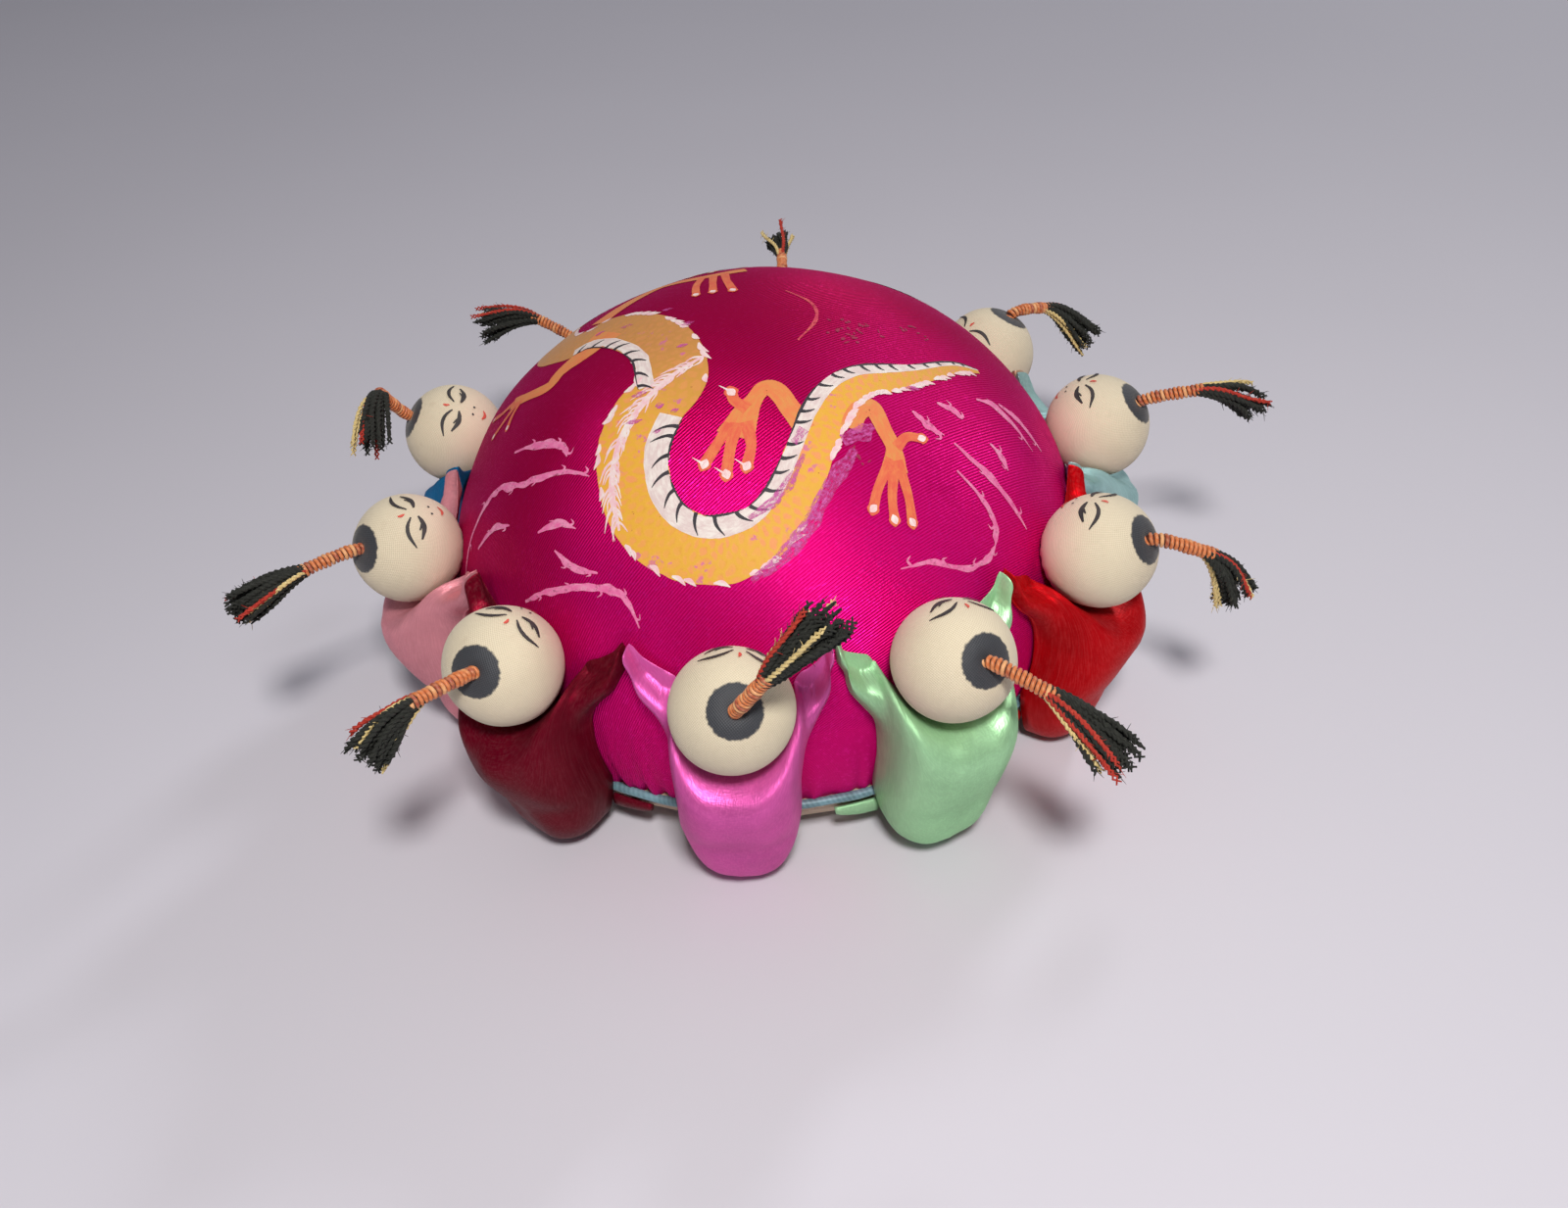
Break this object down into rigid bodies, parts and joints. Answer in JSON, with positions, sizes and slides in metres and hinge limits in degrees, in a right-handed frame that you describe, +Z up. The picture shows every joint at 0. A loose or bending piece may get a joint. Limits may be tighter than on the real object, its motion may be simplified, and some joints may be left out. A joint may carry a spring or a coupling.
{
  "type": "pincushion",
  "caption": "Domed satin pincushion with a painted dragon, ringed by padded child figures holding hands, each with a wrapped thread queue ending in a yarn tassel.",
  "frame": {"origin": "centre of the flat underside, on the surface it rests on", "axes": "+Z up; -Y is the front, where child 1 sits six degrees to the left; +X to the right seen from the front"},
  "size_m": [0.1446, 0.1381, 0.06],
  "materials": {
    "dome_cover": "satin",
    "dome_filling": "matte",
    "base_cover": "matte",
    "base_board": "matte",
    "seam_cord": "satin",
    "child_1_robe": "satin",
    "child_1_robe_wadding": "matte",
    "child_1_head": "matte",
    "child_1_queue_wrap": "satin",
    "child_1_queue_tassel": "matte",
    "child_2_robe": "satin",
    "child_2_robe_wadding": "matte",
    "child_2_head": "matte",
    "child_2_queue_wrap": "satin",
    "child_2_queue_tassel": "matte",
    "child_3_robe": "satin",
    "child_3_robe_wadding": "matte",
    "child_3_head": "matte",
    "child_3_queue_wrap": "satin",
    "child_3_queue_tassel": "matte",
    "child_4_robe": "satin",
    "child_4_robe_wadding": "matte",
    "child_4_head": "matte",
    "child_4_queue_wrap": "satin",
    "child_4_queue_tassel": "matte",
    "child_5_robe": "satin",
    "child_5_robe_wadding": "matte",
    "child_5_head": "matte",
    "child_5_queue_wrap": "satin",
    "child_5_queue_tassel": "matte",
    "child_6_robe": "satin",
    "child_6_robe_wadding": "matte",
    "child_6_head": "matte",
    "child_6_queue_wrap": "satin",
    "child_6_queue_tassel": "matte",
    "child_7_robe": "satin",
    "child_7_robe_wadding": "matte",
    "child_7_head": "matte",
    "child_7_queue_wrap": "satin",
    "child_7_queue_tassel": "matte",
    "child_8_robe": "satin",
    "child_8_robe_wadding": "matte",
    "child_8_head": "matte",
    "child_8_queue_wrap": "satin",
    "child_8_queue_tassel": "matte",
    "child_9_robe": "satin",
    "child_9_robe_wadding": "matte",
    "child_9_head": "matte",
    "child_9_queue_wrap": "satin",
    "child_9_queue_tassel": "matte",
    "child_10_robe": "satin",
    "child_10_robe_wadding": "matte",
    "child_10_head": "matte",
    "child_10_queue_wrap": "satin",
    "child_10_queue_tassel": "matte"
  },
  "bodies": {
    "cushion": {"dome_cover": "dome_cover", "dome_filling": "dome_filling", "base_cover": "base_cover", "base_board": "base_board", "seam_cord": "seam_cord", "child_1_robe": "child_1_robe", "child_1_robe_wadding": "child_1_robe_wadding", "child_1_head": "child_1_head", "child_2_robe": "child_2_robe", "child_2_robe_wadding": "child_2_robe_wadding", "child_2_head": "child_2_head", "child_3_robe": "child_3_robe", "child_3_robe_wadding": "child_3_robe_wadding", "child_3_head": "child_3_head", "child_4_robe": "child_4_robe", "child_4_robe_wadding": "child_4_robe_wadding", "child_4_head": "child_4_head", "child_5_robe": "child_5_robe", "child_5_robe_wadding": "child_5_robe_wadding", "child_5_head": "child_5_head", "child_6_robe": "child_6_robe", "child_6_robe_wadding": "child_6_robe_wadding", "child_6_head": "child_6_head", "child_7_robe": "child_7_robe", "child_7_robe_wadding": "child_7_robe_wadding", "child_7_head": "child_7_head", "child_8_robe": "child_8_robe", "child_8_robe_wadding": "child_8_robe_wadding", "child_8_head": "child_8_head", "child_9_robe": "child_9_robe", "child_9_robe_wadding": "child_9_robe_wadding", "child_9_head": "child_9_head", "child_10_robe": "child_10_robe", "child_10_robe_wadding": "child_10_robe_wadding", "child_10_head": "child_10_head"},
    "child_1_queue": {"child_1_queue_wrap": "child_1_queue_wrap"},
    "child_1_tassel": {"child_1_queue_tassel": "child_1_queue_tassel"},
    "child_2_queue": {"child_2_queue_wrap": "child_2_queue_wrap"},
    "child_2_tassel": {"child_2_queue_tassel": "child_2_queue_tassel"},
    "child_3_queue": {"child_3_queue_wrap": "child_3_queue_wrap"},
    "child_3_tassel": {"child_3_queue_tassel": "child_3_queue_tassel"},
    "child_4_queue": {"child_4_queue_wrap": "child_4_queue_wrap"},
    "child_4_tassel": {"child_4_queue_tassel": "child_4_queue_tassel"},
    "child_5_queue": {"child_5_queue_wrap": "child_5_queue_wrap"},
    "child_5_tassel": {"child_5_queue_tassel": "child_5_queue_tassel"},
    "child_6_queue": {"child_6_queue_wrap": "child_6_queue_wrap"},
    "child_6_tassel": {"child_6_queue_tassel": "child_6_queue_tassel"},
    "child_7_queue": {"child_7_queue_wrap": "child_7_queue_wrap"},
    "child_7_tassel": {"child_7_queue_tassel": "child_7_queue_tassel"},
    "child_8_queue": {"child_8_queue_wrap": "child_8_queue_wrap"},
    "child_8_tassel": {"child_8_queue_tassel": "child_8_queue_tassel"},
    "child_9_queue": {"child_9_queue_wrap": "child_9_queue_wrap"},
    "child_9_tassel": {"child_9_queue_tassel": "child_9_queue_tassel"},
    "child_10_queue": {"child_10_queue_wrap": "child_10_queue_wrap"},
    "child_10_tassel": {"child_10_queue_tassel": "child_10_queue_tassel"}
  },
  "joints": [
    {"name": "child_1_queue_swing", "type": "hinge", "parent": "cushion", "child": "child_1_queue", "pos_m": [-0.00453, -0.05757, 0.03924], "axis": [0.454, 0.891, 0], "range_deg": [-25, 25], "stiffness_Nm_per_rad": 0.0006},
    {"name": "child_1_tassel_swing", "type": "hinge", "parent": "child_1_queue", "child": "child_1_tassel", "pos_m": [-0.00044, -0.05965, 0.04579], "axis": [-0.0872, 0.9962, 0], "range_deg": [-35, 35], "stiffness_Nm_per_rad": 0.0003},
    {"name": "child_2_queue_swing", "type": "hinge", "parent": "cushion", "child": "child_2_queue", "pos_m": [-0.03625, -0.04555, 0.03818], "axis": [0.682, -0.7314, 0], "range_deg": [-25, 25], "stiffness_Nm_per_rad": 0.0006},
    {"name": "child_2_tassel_swing", "type": "hinge", "parent": "child_2_queue", "child": "child_2_tassel", "pos_m": [-0.04207, -0.05098, 0.03901], "axis": [0.5, -0.866, 0], "range_deg": [-35, 35], "stiffness_Nm_per_rad": 0.0003},
    {"name": "child_3_queue_swing", "type": "hinge", "parent": "cushion", "child": "child_3_queue", "pos_m": [-0.05584, -0.01655, 0.03778], "axis": [0.5592, -0.829, 0], "range_deg": [-25, 25], "stiffness_Nm_per_rad": 0.0006},
    {"name": "child_3_tassel_swing", "type": "hinge", "parent": "child_3_queue", "child": "child_3_tassel", "pos_m": [-0.06247, -0.02102, 0.0375], "axis": [0.5299, -0.848, 0], "range_deg": [-35, 35], "stiffness_Nm_per_rad": 0.0003},
    {"name": "child_4_queue_swing", "type": "hinge", "parent": "cushion", "child": "child_4_queue", "pos_m": [-0.0545, 0.0179, 0.03883], "axis": [0.9781, -0.2079, 0], "range_deg": [-25, 25], "stiffness_Nm_per_rad": 0.0006},
    {"name": "child_4_tassel_swing", "type": "hinge", "parent": "child_4_queue", "child": "child_4_tassel", "pos_m": [-0.0555, 0.01319, 0.04522], "axis": [0.9903, -0.1392, 0], "range_deg": [-35, 6], "stiffness_Nm_per_rad": 0.0003},
    {"name": "child_5_queue_swing", "type": "hinge", "parent": "cushion", "child": "child_5_queue", "pos_m": [-0.03104, 0.05149, 0.03262], "axis": [-0.3746, -0.9272, 0], "range_deg": [-25, 25], "stiffness_Nm_per_rad": 0.0006},
    {"name": "child_5_tassel_swing", "type": "hinge", "parent": "child_5_queue", "child": "child_5_tassel", "pos_m": [-0.03791, 0.05427, 0.03562], "axis": [0, -1, 0], "range_deg": [-35, 35], "stiffness_Nm_per_rad": 0.0003},
    {"name": "child_6_queue_swing", "type": "hinge", "parent": "cushion", "child": "child_6_queue", "pos_m": [0.00701, 0.05815, 0.0381], "axis": [-0.9994, 0.0349, 0], "range_deg": [-25, 25], "stiffness_Nm_per_rad": 0.0006},
    {"name": "child_6_tassel_swing", "type": "hinge", "parent": "child_6_queue", "child": "child_6_tassel", "pos_m": [0.00729, 0.06614, 0.0381], "axis": [-0.9976, -0.0698, 0], "range_deg": [-35, 35], "stiffness_Nm_per_rad": 0.0003},
    {"name": "child_7_queue_swing", "type": "hinge", "parent": "cushion", "child": "child_7_queue", "pos_m": [0.04404, 0.03415, 0.03903], "axis": [-0.4695, 0.8829, 0], "range_deg": [-25, 8], "stiffness_Nm_per_rad": 0.0006},
    {"name": "child_7_tassel_swing", "type": "hinge", "parent": "child_7_queue", "child": "child_7_tassel", "pos_m": [0.05076, 0.03772, 0.03656], "axis": [0.1736, 0.9848, 0], "range_deg": [-35, 35], "stiffness_Nm_per_rad": 0.0003},
    {"name": "child_8_queue_swing", "type": "hinge", "parent": "cushion", "child": "child_8_queue", "pos_m": [0.05735, 0.00202, 0.03912], "axis": [0.1736, 0.9848, 0], "range_deg": [-25, 25], "stiffness_Nm_per_rad": 0.0006},
    {"name": "child_8_tassel_swing", "type": "hinge", "parent": "child_8_queue", "child": "child_8_tassel", "pos_m": [0.06515, 0.00064, 0.04023], "axis": [0.0872, 0.9962, 0], "range_deg": [-35, 35], "stiffness_Nm_per_rad": 0.0003},
    {"name": "child_9_queue_swing", "type": "hinge", "parent": "cushion", "child": "child_9_queue", "pos_m": [0.05019, -0.03063, 0.03798], "axis": [0.1045, 0.9945, 0], "range_deg": [-25, 25], "stiffness_Nm_per_rad": 0.0006},
    {"name": "child_9_tassel_swing", "type": "hinge", "parent": "child_9_queue", "child": "child_9_tassel", "pos_m": [0.05746, -0.03139, 0.03473], "axis": [-0.1736, 0.9848, 0], "range_deg": [-35, 35], "stiffness_Nm_per_rad": 0.0003},
    {"name": "child_10_queue_swing", "type": "hinge", "parent": "cushion", "child": "child_10_queue", "pos_m": [0.0253, -0.05271, 0.03885], "axis": [0.5299, 0.848, 0], "range_deg": [-25, 25], "stiffness_Nm_per_rad": 0.0006},
    {"name": "child_10_tassel_swing", "type": "hinge", "parent": "child_10_queue", "child": "child_10_tassel", "pos_m": [0.03167, -0.05669, 0.03611], "axis": [0.6691, 0.7431, 0], "range_deg": [-35, 35], "stiffness_Nm_per_rad": 0.0003}
  ]
}
